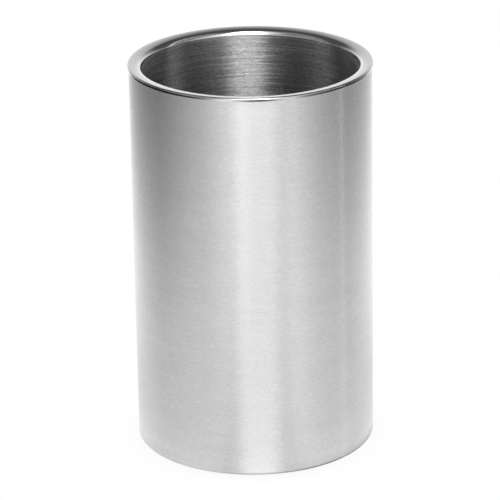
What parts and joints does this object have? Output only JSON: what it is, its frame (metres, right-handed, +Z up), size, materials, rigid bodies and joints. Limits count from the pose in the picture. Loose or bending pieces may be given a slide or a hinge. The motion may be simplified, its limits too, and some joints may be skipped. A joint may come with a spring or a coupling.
{
  "type": "champagne bottle cooler",
  "caption": "Cylindrical insulated steel cooler that stands on a bar or table and keeps a champagne or wine bottle cold, with a rolled satin rim, a brushed shell and a closed, non-slip base.",
  "frame": {"origin": "centre of the footprint, on the table, at the underside of the foot ring", "axes": "+Z up the cooler's axis, out of its mouth; the cooler is round, so +X and +Y are free and -Y is taken as its front"},
  "size_m": [0.1211, 0.121, 0.1976],
  "materials": {
    "brushed_shell": "satin",
    "satin_liner": "satin",
    "mill_finish_pan": "satin",
    "black_foot_rubber": "matte",
    "grey_support_rubber": "matte",
    "grey_sealant": "matte"
  },
  "bodies": {
    "root": {"outer_sleeve": "brushed_shell", "inner_liner": "satin_liner", "base_pan": "mill_finish_pan", "foot_ring": "black_foot_rubber", "support_ring": "grey_support_rubber", "vent_plug": "black_foot_rubber", "rim_seal": "grey_sealant", "base_seal": "grey_sealant"}
  },
  "joints": []
}
